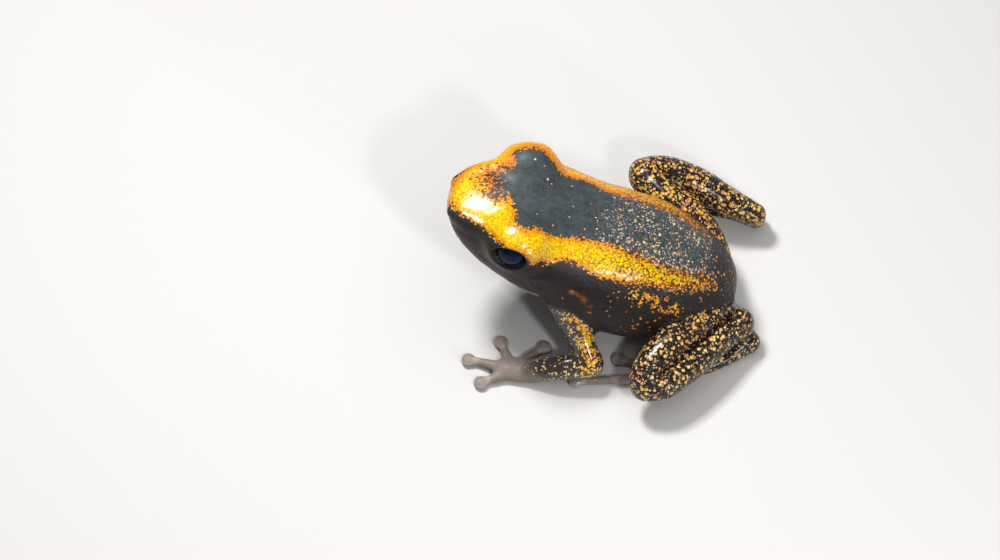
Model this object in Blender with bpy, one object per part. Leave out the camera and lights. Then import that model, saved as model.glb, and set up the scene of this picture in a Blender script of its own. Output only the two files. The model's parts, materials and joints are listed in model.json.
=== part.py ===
# A young golden poison frog, life size, sitting with its head raised.
# Each body part is one closed solid, parted from its neighbours by a thin cut.
import math

import bmesh
import bpy
import numpy as np
from mathutils import Matrix, Vector

# Driving dimensions, in metres. The tables below are in millimetres of a frog 20 mm from snout to vent,
# measured from the rump at x = 0: the snout lies towards -X, the frog's left towards -Y, the floor at z = 0.
SNOUT_TO_VENT = 0.020
UNIT = SNOUT_TO_VENT / 20.0
GAP = 0.28  # between neighbouring solids
EYE_GAP = 0.10  # between an eyeball and its socket
CENTRE_SHIFT = (8.30, -0.29)  # puts the middle of the bounding box over the origin

# Head and trunk in one run of cross-sections, from snout to rump:
# back line x and z, belly line x and z, half width, how far down the widest level lies,
# and roundness above and below that level
BODY = [
    (-18.46, 9.75, -18.46, 9.45, 0.20, 0.50, 2.0, 2.0),
    (-18.36, 10.20, -18.32, 8.95, 0.85, 0.55, 2.1, 2.0),
    (-17.98, 10.66, -17.90, 8.25, 1.62, 0.58, 2.3, 2.1),
    (-17.20, 10.98, -17.10, 7.45, 2.38, 0.60, 2.4, 2.2),
    (-16.00, 11.12, -15.95, 6.75, 3.12, 0.62, 2.5, 2.3),
    (-14.60, 11.14, -14.55, 6.10, 3.76, 0.62, 2.6, 2.3),
    (-13.20, 11.00, -13.15, 5.40, 4.20, 0.62, 2.6, 2.3),
    (-11.80, 10.62, -11.85, 4.50, 4.42, 0.60, 2.6, 2.3),
    (-10.30, 9.98, -10.55, 3.20, 4.52, 0.58, 2.45, 2.3),
    (-8.75, 9.36, -9.10, 2.00, 4.68, 0.57, 2.2, 2.3),
    (-7.00, 8.94, -7.30, 1.25, 4.76, 0.57, 2.1, 2.3),
    (-5.10, 8.52, -5.20, 0.90, 4.46, 0.56, 2.1, 2.3),
    (-3.30, 7.80, -3.20, 0.85, 3.74, 0.55, 2.1, 2.2),
    (-1.80, 6.75, -1.60, 1.05, 2.82, 0.52, 2.1, 2.1),
    (-0.72, 5.50, -0.55, 1.50, 1.95, 0.50, 2.0, 2.0),
    (-0.14, 4.30, -0.08, 2.20, 1.15, 0.50, 2.0, 2.0),
    (0.00, 3.45, 0.00, 3.10, 0.25, 0.50, 2.0, 2.0),
]
BODY_STATIONS = 34
BODY_SIDES = 28
NECK_CUT = ((-11.35, 0.0, 7.2), (-1.0, 0.0, 0.10))  # a point on the cut and its normal

# Eyes and the lids round them
EYE_CENTRE = (-13.78, 3.00, 9.93)
EYE_RADIUS = 1.28
GAZE = (-0.20, 0.95, 0.25)
ORBITS = [((-13.68, 2.82, 10.00), (1.98, 1.60, 1.72)), ((-13.75, 2.15, 9.80), (2.80, 2.10, 1.50))]
EYE_OPENING = (1.16, 0.92)  # half length and half height of the slit between the lids

# Ridges and grooves of the face, as x and degrees above the widest level of the head, on each side
CANTHUS = [(-17.9, 52.0, 0.34), (-17.0, 50.0, 0.46), (-15.9, 50.0, 0.52), (-15.0, 50.0, 0.50)]  # with radius
CANTHUS_RISE = -0.28
MOUTH = [  # the last number is how full the lips are there
    (-18.22, -88.0, 1.0), (-18.10, -66.0, 1.0), (-17.70, -46.0, 1.0), (-16.90, -36.0, 1.0),
    (-15.60, -30.0, 1.0), (-14.20, -26.0, 0.9), (-13.00, -21.0, 0.7), (-12.35, -17.0, 0.4),
]
MOUTH_GROOVE = 0.13
LIP_RADIUS = 0.22
LIP_RISE = -0.10
LIP_TURN = 7.0  # degrees of the lips above and below the line of the mouth
NOSTRIL = (-17.60, 34.0, 0.16)
EARDRUM = (-12.35, 8.0, 0.60, 0.14)
EARDRUM_FACING = (0.10, 1.0, 0.10)

# Limbs: x, y, z and radius of the points that each length runs through
LEFT_ARM = {
    "upper": [(-10.6, -3.3, 5.7, 1.15), (-10.05, -4.25, 4.45, 0.98), (-9.3, -5.0, 3.15, 0.84),
              (-8.55, -5.95, 1.75, 0.82)],
    "fore": [(-8.55, -5.95, 1.75, 0.82), (-9.5, -6.15, 1.66, 0.84), (-10.6, -6.3, 1.38, 0.86),
             (-12.1, -6.35, 0.84, 0.74)],
    "palm": [(-12.1, -6.35, 0.84, 0.74), (-13.0, -6.3, 0.66, 0.86), (-13.9, -6.25, 0.60, 0.78)],
    "digits": [
        [(-13.1, -5.9, 0.42, 0.36), (-12.4, -5.05, 0.36, 0.31), (-11.65, -4.25, 0.30, 0.30)],
        [(-13.5, -6.0, 0.42, 0.38), (-14.0, -5.2, 0.36, 0.31), (-14.5, -4.25, 0.30, 0.30)],
        [(-13.8, -6.3, 0.40, 0.40), (-15.0, -6.05, 0.36, 0.32), (-16.35, -5.85, 0.30, 0.31)],
        [(-13.6, -6.5, 0.40, 0.38), (-14.5, -7.0, 0.36, 0.31), (-15.35, -7.45, 0.30, 0.30)],
    ],
}
RIGHT_ARM = {
    "upper": [(-10.6, 3.3, 5.7, 1.15), (-10.1, 4.25, 4.45, 0.98), (-9.4, 5.0, 3.15, 0.84),
              (-8.75, 5.95, 1.75, 0.82)],
    "fore": [(-8.75, 5.95, 1.75, 0.82), (-9.6, 6.15, 1.66, 0.84), (-10.7, 6.25, 1.38, 0.86),
             (-12.2, 6.2, 0.84, 0.74)],
    "palm": [(-12.2, 6.2, 0.84, 0.74), (-13.1, 6.1, 0.66, 0.86), (-14.0, 5.95, 0.60, 0.78)],
    "digits": [
        [(-13.2, 5.7, 0.42, 0.36), (-12.6, 4.8, 0.36, 0.31), (-12.1, 3.9, 0.30, 0.30)],
        [(-13.6, 5.7, 0.42, 0.38), (-14.2, 4.9, 0.36, 0.31), (-14.8, 4.0, 0.30, 0.30)],
        [(-13.9, 5.9, 0.40, 0.40), (-15.1, 5.55, 0.36, 0.32), (-16.4, 5.15, 0.30, 0.31)],
        [(-13.7, 6.2, 0.40, 0.38), (-14.7, 6.6, 0.36, 0.31), (-15.7, 6.9, 0.30, 0.30)],
    ],
}
LEFT_LEG = {
    "thigh": [(-0.9, -1.3, 2.8, 1.00), (-2.2, -3.0, 3.4, 1.20), (-3.6, -4.9, 3.45, 1.18),
              (-4.55, -6.3, 3.25, 1.10), (-4.85, -7.05, 3.0, 1.04)],
    "shank": [(-4.80, -7.50, 2.45, 1.02), (-3.9, -7.2, 2.45, 1.06), (-2.1, -5.2, 2.42, 1.12),
              (-0.6, -3.1, 2.25, 1.04), (0.50, -1.75, 2.0, 0.94)],
    "tarsus": [(1.20, -2.35, 0.80, 0.72), (0.2, -3.3, 0.60, 0.54), (-1.2, -4.3, 0.52, 0.50),
               (-2.6, -4.95, 0.50, 0.50)],
    "sole": [(-2.6, -4.95, 0.80, 0.56), (-3.4, -5.25, 0.66, 0.66), (-4.2, -5.45, 0.56, 0.60)],
    "digits": [
        [(-2.8, -4.8, 0.38, 0.34), (-3.5, -4.25, 0.34, 0.28), (-4.3, -3.85, 0.30, 0.27)],
        [(-3.2, -5.0, 0.38, 0.35), (-4.4, -4.35, 0.34, 0.29), (-5.5, -3.9, 0.30, 0.28)],
        [(-3.6, -5.2, 0.38, 0.36), (-5.3, -4.85, 0.35, 0.31), (-6.9, -4.45, 0.30, 0.30)],
        [(-3.8, -5.4, 0.38, 0.38), (-6.4, -5.95, 0.34, 0.33), (-9.4, -6.45, 0.27, 0.29)],
        [(-3.6, -5.5, 0.38, 0.36), (-4.1, -6.0, 0.35, 0.31), (-4.6, -6.7, 0.30, 0.30)],
    ],
}
RIGHT_LEG = {
    "thigh": [(-1.2, 1.3, 2.8, 1.00), (-2.25, 3.3, 3.2, 1.14), (-3.65, 4.7, 3.6, 1.20),
              (-5.3, 5.8, 3.95, 1.16), (-6.6, 6.80, 4.15, 1.04)],
    "shank": [(-6.8, 7.25, 4.10, 1.04), (-5.9, 7.6, 3.95, 1.10), (-3.6, 7.15, 3.45, 1.12),
              (-1.2, 6.6, 2.65, 0.90), (0.45, 6.5, 1.95, 0.76)],
    "tarsus": [(0.50, 6.95, 0.88, 0.66), (-0.7, 7.3, 0.62, 0.54), (-2.2, 7.5, 0.52, 0.50),
               (-3.6, 7.6, 0.50, 0.50)],
    "sole": [(-3.6, 7.6, 0.80, 0.56), (-4.4, 7.65, 0.66, 0.66), (-5.2, 7.65, 0.56, 0.60)],
    "digits": [
        [(-3.8, 7.4, 0.38, 0.34), (-4.4, 6.8, 0.34, 0.28), (-5.1, 6.25, 0.30, 0.27)],
        [(-4.2, 7.5, 0.38, 0.35), (-5.2, 6.8, 0.34, 0.29), (-6.2, 6.15, 0.30, 0.28)],
        [(-4.6, 7.6, 0.38, 0.36), (-6.2, 7.2, 0.35, 0.31), (-7.7, 6.65, 0.30, 0.30)],
        [(-4.8, 7.7, 0.38, 0.38), (-7.4, 7.8, 0.34, 0.33), (-10.1, 7.5, 0.27, 0.29)],
        [(-4.6, 7.8, 0.38, 0.36), (-5.8, 8.3, 0.35, 0.31), (-7.0, 8.6, 0.30, 0.30)],
    ],
}
DISC_RADII = (0.50, 0.46, 0.24)  # across the digit, along it, and up
PALM_FLATTENING = 0.66
LIMB_BEVEL = 4
DIGIT_BEVEL = 2
LIMB_STEPS = 11
PAW_STEPS = 7
DIGIT_STEPS = 5
LIP_STEPS = 11
CANTHUS_STEPS = 6
END_TURNS = (0.45, 0.95, 1.35)  # where a round end's rings lie, in radians from the end of the length
END_CAP = 0.04  # how far the pointed closing of the snout and the rump reaches
FINE_STATIONS = 240
SHARP_ANGLE = 50.0
TRIM_REACH = 30.0
OPENING_DEPTH = 1.5
OPENING_SHIFT = 1.6

SKIN_BLACK = (0.016, 0.018, 0.021, 1.0)
STRIPE_GOLD = (0.80, 0.36, 0.02, 1.0)
LIMB_BRONZE = (0.09, 0.065, 0.035, 1.0)
DIGIT_GREY = (0.11, 0.085, 0.075, 1.0)
EYE_BLACK = (0.004, 0.006, 0.012, 1.0)


def clear_scene():
    for obj in list(bpy.data.objects):
        bpy.data.objects.remove(obj)


def skin_material(name, colour, roughness):
    material = bpy.data.materials.new(name)
    material.use_nodes = True
    shader = material.node_tree.nodes["Principled BSDF"]
    shader.inputs["Base Color"].default_value = colour
    shader.inputs["Roughness"].default_value = roughness
    shader.inputs["Metallic"].default_value = 0.0
    return material


def smooth_rows(rows, count):
    """A Catmull-Rom curve through the rows, sampled at count places."""
    rows = np.array(rows, float)
    steps = np.linalg.norm(np.diff(rows, axis=0), axis=1) ** 0.5
    at = np.concatenate([[0.0], np.cumsum(steps)])
    slopes = np.gradient(rows, at, axis=0)
    samples = np.linspace(0.0, at[-1], count)
    index = np.clip(np.searchsorted(at, samples, side="right") - 1, 0, len(rows) - 2)
    span = (at[index + 1] - at[index])[:, None]
    t = (samples - at[index])[:, None] / span
    start, end = rows[index], rows[index + 1]
    return (
        (2 * t**3 - 3 * t**2 + 1) * start
        + (t**3 - 2 * t**2 + t) * span * slopes[index]
        + (3 * t**2 - 2 * t**3) * end
        + (t**3 - t**2) * span * slopes[index + 1]
    )


def add_mesh(name, points, faces):
    mesh = bpy.data.meshes.new(name)
    mesh.from_pydata([tuple(p) for p in points], [], faces)
    mesh.validate()
    obj = bpy.data.objects.new(name, mesh)
    bpy.context.scene.collection.objects.link(obj)
    return obj


def body_point(row, angle, grow):
    """A point of one cross-section, a superellipse that is rounder above than below."""
    top = np.array([row[0], 0.0, row[1]])
    bottom = np.array([row[2], 0.0, row[3]])
    rise = (top - bottom) / np.linalg.norm(top - bottom)
    middle = top + (bottom - top) * row[5]
    up = np.linalg.norm(top - middle) + grow
    down = np.linalg.norm(bottom - middle) + grow
    across, along = math.cos(angle), math.sin(angle)
    power = 2.0 / (row[6] if along >= 0 else row[7])
    side = math.copysign(abs(across) ** power, across) * (row[4] + grow)
    height = math.copysign(abs(along) ** power, along) * (up if along >= 0 else down)
    return middle + np.array([0.0, side, 0.0]) + rise * height


def body_ring(row, grow):
    return [body_point(row, 2 * math.pi * step / BODY_SIDES, grow) for step in range(BODY_SIDES)]


def skin_point(x, degrees, side, rise=0.0):
    """The place on the skin of head or trunk at x, so many degrees above its widest level."""
    rows = smooth_rows(BODY, FINE_STATIONS)
    middle = (rows[:, 0] + rows[:, 2]) / 2
    row = [np.interp(x, middle, rows[:, column]) for column in range(rows.shape[1])]
    place = body_point(row, math.radians(degrees), rise)
    return (place[0], place[1] * side, place[2])


def body_loft(name, grow=0.0):
    """Head and trunk as one closed skin over the cross-sections; grow makes it fatter all round."""
    rings = [body_ring(row, grow) for row in smooth_rows(BODY, BODY_STATIONS)]
    points = [p * UNIT for ring in rings for p in ring]
    cap = np.array([(END_CAP + grow) * UNIT, 0.0, 0.0])
    points.append(np.mean(rings[0], axis=0) * UNIT - cap)
    points.append(np.mean(rings[-1], axis=0) * UNIT + cap)
    faces = []
    for i in range(len(rings) - 1):
        for j in range(BODY_SIDES):
            a, b = i * BODY_SIDES + j, i * BODY_SIDES + (j + 1) % BODY_SIDES
            faces.append((a, b, b + BODY_SIDES, a + BODY_SIDES))
    last = (len(rings) - 1) * BODY_SIDES
    for j in range(BODY_SIDES):
        following = (j + 1) % BODY_SIDES
        faces.append((len(points) - 2, following, j))
        faces.append((len(points) - 1, last + j, last + following))
    obj = add_mesh(name, points, faces)
    face_outwards(obj)
    return obj


def face_outwards(obj):
    work = bmesh.new()
    work.from_mesh(obj.data)
    bmesh.ops.remove_doubles(work, verts=work.verts, dist=1e-7)
    bmesh.ops.recalc_face_normals(work, faces=work.faces)
    if work.calc_volume(signed=True) < 0:
        bmesh.ops.reverse_faces(work, faces=work.faces)
    work.to_mesh(obj.data)
    work.free()


def as_mesh(obj):
    """Replaces an object by the mesh that its curve or its modifiers make."""
    bpy.context.view_layer.update()
    graph = bpy.context.evaluated_depsgraph_get()
    mesh = bpy.data.meshes.new_from_object(obj.evaluated_get(graph))
    made = bpy.data.objects.new(obj.name, mesh)
    made.matrix_world = obj.matrix_world.copy()
    bpy.context.scene.collection.objects.link(made)
    name = obj.name
    bpy.data.objects.remove(obj)
    made.name = name
    made.data.transform(made.matrix_world)
    made.matrix_world = Matrix.Identity(4)
    return made


def tube(name, points, bevel, steps, round_ends=True):
    """A limb or digit: a curve through the points with their radii, round at both ends."""
    rows = smooth_rows(points, steps)
    places, radii = list(rows[:, :3]), list(rows[:, 3])
    if round_ends:
        first = (places[0] - places[1]) / np.linalg.norm(places[0] - places[1])
        final = (places[-1] - places[-2]) / np.linalg.norm(places[-1] - places[-2])
        start, start_radius, end, end_radius = places[0], radii[0], places[-1], radii[-1]
        for turn in END_TURNS:
            places.insert(0, start + first * start_radius * math.sin(turn))
            radii.insert(0, start_radius * math.cos(turn))
            places.append(end + final * end_radius * math.sin(turn))
            radii.append(end_radius * math.cos(turn))
    curve = bpy.data.curves.new(name, "CURVE")
    curve.dimensions = "3D"
    curve.bevel_depth = UNIT
    curve.bevel_resolution = bevel
    curve.use_fill_caps = True
    spline = curve.splines.new("POLY")
    spline.points.add(len(places) - 1)
    for point, place, radius in zip(spline.points, places, radii):
        point.co = (*(place * UNIT), 1.0)
        point.radius = radius
    obj = bpy.data.objects.new(name, curve)
    bpy.context.scene.collection.objects.link(obj)
    obj = as_mesh(obj)
    face_outwards(obj)
    return obj


def ellipsoid(name, centre, radii, direction=(0.0, 0.0, 1.0), segments=20, rings=12):
    """A sphere stretched to the three radii, its own Z turned to the direction."""
    bpy.ops.mesh.primitive_uv_sphere_add(segments=segments, ring_count=rings, radius=1.0)
    obj = bpy.context.object
    obj.name = name
    turn = Vector(direction).normalized().to_track_quat("Z", "Y").to_matrix().to_4x4()
    size = Matrix.Diagonal((*[r * UNIT for r in radii], 1.0))
    obj.data.transform(Matrix.Translation(Vector(centre) * UNIT) @ turn @ size)
    return obj


def half_space(point, normal, offset):
    """A large block on the far side of a plane, to trim what reaches past it."""
    bpy.ops.mesh.primitive_cube_add(size=2.0)
    obj = bpy.context.object
    obj.name = "trim_block"
    direction = Vector(normal).normalized()
    turn = direction.to_track_quat("Z", "Y").to_matrix().to_4x4()
    centre = Vector(point) + direction * (TRIM_REACH + offset)
    obj.data.transform(Matrix.Translation(centre * UNIT) @ turn @ Matrix.Scale(TRIM_REACH * UNIT, 4))
    return obj


def combine(obj, others, operation, solver="EXACT"):
    """Joins the others to obj, or cuts them from it, and removes them."""
    group = bpy.data.collections.new("pieces")
    bpy.context.scene.collection.children.link(group)
    for other in others:
        group.objects.link(other)
    modifier = obj.modifiers.new("combine", "BOOLEAN")
    modifier.operation = operation
    modifier.operand_type = "COLLECTION"
    modifier.collection = group
    modifier.solver = solver
    obj = as_mesh(obj)
    for other in others:
        bpy.data.objects.remove(other)
    bpy.data.collections.remove(group)
    keep_largest(obj)
    return obj


def keep_largest(obj):
    """Drops every loose scrap, so that the solid is one closed surface."""
    work = bmesh.new()
    work.from_mesh(obj.data)
    work.faces.ensure_lookup_table()
    left, islands = set(work.faces), []
    while left:
        seed = left.pop()
        island, front = {seed}, [seed]
        while front:
            for edge in front.pop().edges:
                for face in edge.link_faces:
                    if face in left:
                        left.discard(face)
                        island.add(face)
                        front.append(face)
        islands.append(island)
    largest = max(islands, key=len)
    scrap = [face for island in islands if island is not largest for face in island]
    bmesh.ops.delete(work, geom=scrap, context="FACES")
    loose = [v for v in work.verts if not v.link_faces]
    bmesh.ops.delete(work, geom=loose, context="VERTS")
    work.to_mesh(obj.data)
    work.free()


def trim(obj, point, normal, offset=-GAP / 2):
    """Cuts away what lies past a plane, less half the gap."""
    return combine(obj, [half_space(point, normal, offset)], "DIFFERENCE")


def stand_on_floor(obj):
    """Cuts a small flat where the piece meets the floor."""
    return trim(obj, (0.0, 0.0, 0.0), (0.0, 0.0, -1.0), 0.0)


def mouth_line(side, radius, turn, rise):
    """The line of the mouth from the front of the snout to its corner, turned up or down the face."""
    return [(*skin_point(x, degrees + turn, side, rise), radius * full) for x, degrees, full in MOUTH]


def make_head():
    head = trim(body_loft("head"), NECK_CUT[0], tuple(-n for n in NECK_CUT[1]))
    swellings, hollows = [], []
    for side in (-1, 1):
        ridge = [(*skin_point(x, degrees, side, CANTHUS_RISE), radius) for x, degrees, radius in CANTHUS]
        swellings.append(tube("canthus", ridge, 3, CANTHUS_STEPS))
        for centre, radii in ORBITS:
            place = (centre[0], centre[1] * side, centre[2])
            swellings.append(ellipsoid("orbit", place, radii, (0, 0, 1), 22, 12))
        for turn in (LIP_TURN, -LIP_TURN):
            lip = mouth_line(side, LIP_RADIUS, turn, LIP_RISE)[1:]
            swellings.append(tube("lip", lip, 1, LIP_STEPS))
        x, degrees, across, thick = EARDRUM
        drum = skin_point(x, degrees, side)
        facing = (EARDRUM_FACING[0], EARDRUM_FACING[1] * side, EARDRUM_FACING[2])
        swellings.append(ellipsoid("eardrum", drum, (across, across, thick), facing, 14, 6))
        eye = (EYE_CENTRE[0], EYE_CENTRE[1] * side, EYE_CENTRE[2])
        gaze = Vector((GAZE[0], GAZE[1] * side, GAZE[2])).normalized()
        socket = EYE_RADIUS + EYE_GAP
        hollows.append(ellipsoid("socket", eye, (socket,) * 3, tuple(gaze), 18, 10))
        hollows.append(eye_opening(eye, gaze))
        x, degrees, size = NOSTRIL
        hollows.append(ellipsoid("nostril", skin_point(x, degrees, side), (size,) * 3, (0, 0, 1), 8, 5))
    groove = mouth_line(-1, MOUTH_GROOVE, 0.0, 0.0)[:0:-1] + mouth_line(1, MOUTH_GROOVE, 0.0, 0.0)[1:]
    hollows.append(tube("mouth_groove", groove, 1, 2 * LIP_STEPS, False))
    head = combine(head, swellings, "UNION")
    return combine(head, hollows, "DIFFERENCE")


def eye_opening(eye, gaze):
    """The slit between the lids: a long oval that reaches outwards from the middle of the eye."""
    centre = Vector(eye) + gaze * OPENING_SHIFT
    long_side, high_side = EYE_OPENING
    return ellipsoid("opening", tuple(centre), (high_side, long_side, OPENING_DEPTH), tuple(gaze), 20, 10)


def make_trunk():
    return trim(body_loft("trunk"), NECK_CUT[0], NECK_CUT[1])


def make_eye(name, side):
    centre = (EYE_CENTRE[0], EYE_CENTRE[1] * side, EYE_CENTRE[2])
    gaze = (GAZE[0], GAZE[1] * side, GAZE[2])
    return ellipsoid(name, centre, (EYE_RADIUS,) * 3, gaze, 18, 10)


def joint_plane(first, second):
    """The plane that halves the bend between two lengths: the shared point and the way along the limb."""
    last, before = Vector(first[-1][:3]), Vector(first[-2][:3])
    start, after = Vector(second[0][:3]), Vector(second[1][:3])
    along = (last - before).normalized() + (after - start).normalized()
    return (last + start) / 2, along.normalized()


def fold_plane(first, second):
    """The plane that parts two lengths folded back on each other, facing the second."""
    hinge = (Vector(first[-1][:3]) + Vector(second[0][:3])) / 2
    near = Vector(smooth_rows(first, 3)[1][:3])
    far = Vector(smooth_rows(second, 3)[1][:3])
    spine = ((near + far) / 2 - hinge).normalized()
    apart = far - near
    return hinge, (apart - spine * apart.dot(spine)).normalized()


def root_cut(obj, grown_body):
    """Cuts a limb's root to the skin of the trunk, less the gap."""
    copy = grown_body.copy()
    copy.data = grown_body.data.copy()
    bpy.context.scene.collection.objects.link(copy)
    return combine(obj, [copy], "DIFFERENCE")


def length_of_limb(name, points, planes):
    """One length of a limb, trimmed at each joint plane that bounds it."""
    obj = tube(name, points, LIMB_BEVEL, LIMB_STEPS)
    for point, normal in planes:
        obj = trim(obj, point, normal)
    return obj


def paw(name, base, digits, plane):
    """Palm or sole with its digits, each ending in a flattened disc, all one solid."""
    obj = tube(name, base, LIMB_BEVEL, PAW_STEPS)
    obj.data.transform(Matrix.Scale(PALM_FLATTENING, 4, (0.0, 0.0, 1.0)))
    obj = trim(obj, *plane)
    pieces = []
    for points in digits:
        pieces.append(tube("digit", points, DIGIT_BEVEL, DIGIT_STEPS, False))
        pieces.append(digit_disc(points))
    return stand_on_floor(combine(obj, pieces, "UNION"))


def digit_disc(points):
    """The rounded pad at a digit's tip, wider than it is long, flat on the floor."""
    tip, before = Vector(points[-1][:3]), Vector(points[-2][:3])
    bpy.ops.mesh.primitive_uv_sphere_add(segments=12, ring_count=6, radius=1.0)
    disc = bpy.context.object
    turn = math.atan2(tip.y - before.y, tip.x - before.x)
    across, along, up = DISC_RADII
    shape = Matrix.Rotation(turn, 4, "Z") @ Matrix.Diagonal((along * UNIT, across * UNIT, up * UNIT, 1.0))
    disc.data.transform(Matrix.Translation(tip * UNIT) @ shape)
    return disc


def make_arm(side, arm, grown_body):
    elbow, elbow_normal = joint_plane(arm["upper"], arm["fore"])
    wrist, wrist_normal = joint_plane(arm["fore"], arm["palm"])
    upper = root_cut(length_of_limb(f"{side}_upper_arm", arm["upper"], [(elbow, elbow_normal)]), grown_body)
    fore = length_of_limb(f"{side}_forearm", arm["fore"], [(elbow, -elbow_normal), (wrist, wrist_normal)])
    hand = paw(f"{side}_hand", arm["palm"], arm["digits"], (wrist, -wrist_normal))
    return [upper, stand_on_floor(fore), hand]


def make_leg(side, leg, grown_body):
    knee, knee_normal = fold_plane(leg["thigh"], leg["shank"])
    heel, heel_normal = fold_plane(leg["shank"], leg["tarsus"])
    instep, instep_normal = joint_plane(leg["tarsus"], leg["sole"])
    thigh = root_cut(length_of_limb(f"{side}_thigh", leg["thigh"], [(knee, knee_normal)]), grown_body)
    shank = length_of_limb(f"{side}_shank", leg["shank"], [(knee, -knee_normal), (heel, heel_normal)])
    tarsus = length_of_limb(f"{side}_tarsus", leg["tarsus"], [(heel, -heel_normal), (instep, instep_normal)])
    foot = paw(f"{side}_foot", leg["sole"], leg["digits"], (instep, -instep_normal))
    return [thigh, root_cut(shank, grown_body), stand_on_floor(root_cut(tarsus, grown_body)), foot]


def finish(obj, material, parent, collection):
    face_outwards(obj)
    obj.data.materials.clear()
    obj.data.materials.append(material)
    obj.data.shade_smooth()
    obj.data.set_sharp_from_angle(angle=math.radians(SHARP_ANGLE))
    for owner in list(obj.users_collection):
        owner.objects.unlink(obj)
    collection.objects.link(obj)
    obj.parent = parent


def main():
    clear_scene()
    frog = bpy.data.collections.new("golden_poison_frog")
    bpy.context.scene.collection.children.link(frog)
    stand_point = bpy.data.objects.new("frog_origin", None)
    frog.objects.link(stand_point)
    stand_point.location = (CENTRE_SHIFT[0] * UNIT, CENTRE_SHIFT[1] * UNIT, 0.0)

    black = skin_material("skin_black", SKIN_BLACK, 0.35)
    bronze = skin_material("skin_speckled", LIMB_BRONZE, 0.35)
    grey = skin_material("digit_skin", DIGIT_GREY, 0.45)
    wet_eye = skin_material("eye", EYE_BLACK, 0.05)

    grown_body = body_loft("grown_body", GAP)
    finish(make_head(), black, stand_point, frog)
    finish(make_trunk(), black, stand_point, frog)
    for name, side in (("left_eye", -1), ("right_eye", 1)):
        finish(make_eye(name, side), wet_eye, stand_point, frog)
    for side, arm, leg in (("left", LEFT_ARM, LEFT_LEG), ("right", RIGHT_ARM, RIGHT_LEG)):
        upper, fore, hand = make_arm(side, arm, grown_body)
        thigh, shank, tarsus, foot = make_leg(side, leg, grown_body)
        for piece in (upper, fore, thigh, shank):
            finish(piece, bronze, stand_point, frog)
        for piece in (hand, tarsus, foot):
            finish(piece, grey, stand_point, frog)
    bpy.data.objects.remove(grown_body)


main()
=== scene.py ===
# Looks of a young golden poison frog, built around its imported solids.
# Tables are in millimetres of a frog 20 mm from snout to vent, measured from the rump: the snout lies
# towards -X, the frog's left towards -Y, and the floor is z = 0.
import json
import math

import bmesh
import bpy
import numpy as np
import openvdb
from mathutils import Matrix, Vector, noise

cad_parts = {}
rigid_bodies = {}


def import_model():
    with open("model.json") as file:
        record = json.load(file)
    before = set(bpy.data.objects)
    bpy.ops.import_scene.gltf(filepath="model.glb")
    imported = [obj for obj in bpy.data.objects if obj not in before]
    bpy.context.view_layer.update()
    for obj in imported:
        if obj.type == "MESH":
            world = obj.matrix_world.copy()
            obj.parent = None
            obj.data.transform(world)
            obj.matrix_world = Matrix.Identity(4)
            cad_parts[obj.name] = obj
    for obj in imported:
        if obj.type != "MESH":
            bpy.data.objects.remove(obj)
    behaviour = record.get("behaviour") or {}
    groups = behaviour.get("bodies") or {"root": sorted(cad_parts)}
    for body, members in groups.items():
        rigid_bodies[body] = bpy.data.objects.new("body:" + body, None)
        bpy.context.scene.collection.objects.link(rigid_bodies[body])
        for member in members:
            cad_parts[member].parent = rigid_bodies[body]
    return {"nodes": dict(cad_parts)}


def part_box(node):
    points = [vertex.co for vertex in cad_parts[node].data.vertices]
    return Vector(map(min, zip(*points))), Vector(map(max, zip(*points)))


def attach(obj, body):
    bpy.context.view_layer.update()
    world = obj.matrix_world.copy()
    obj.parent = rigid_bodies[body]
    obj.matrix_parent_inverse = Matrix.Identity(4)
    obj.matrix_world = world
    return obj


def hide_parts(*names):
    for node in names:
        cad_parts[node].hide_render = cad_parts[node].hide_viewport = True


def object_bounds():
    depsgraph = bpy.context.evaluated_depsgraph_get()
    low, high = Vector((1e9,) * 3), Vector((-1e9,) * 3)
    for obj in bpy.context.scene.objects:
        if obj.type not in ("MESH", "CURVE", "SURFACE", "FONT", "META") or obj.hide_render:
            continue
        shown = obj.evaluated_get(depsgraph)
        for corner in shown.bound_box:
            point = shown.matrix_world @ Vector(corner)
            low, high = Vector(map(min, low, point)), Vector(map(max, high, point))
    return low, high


for leftover in list(bpy.data.objects):
    bpy.data.objects.remove(leftover)
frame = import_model()
cad_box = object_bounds()

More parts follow.
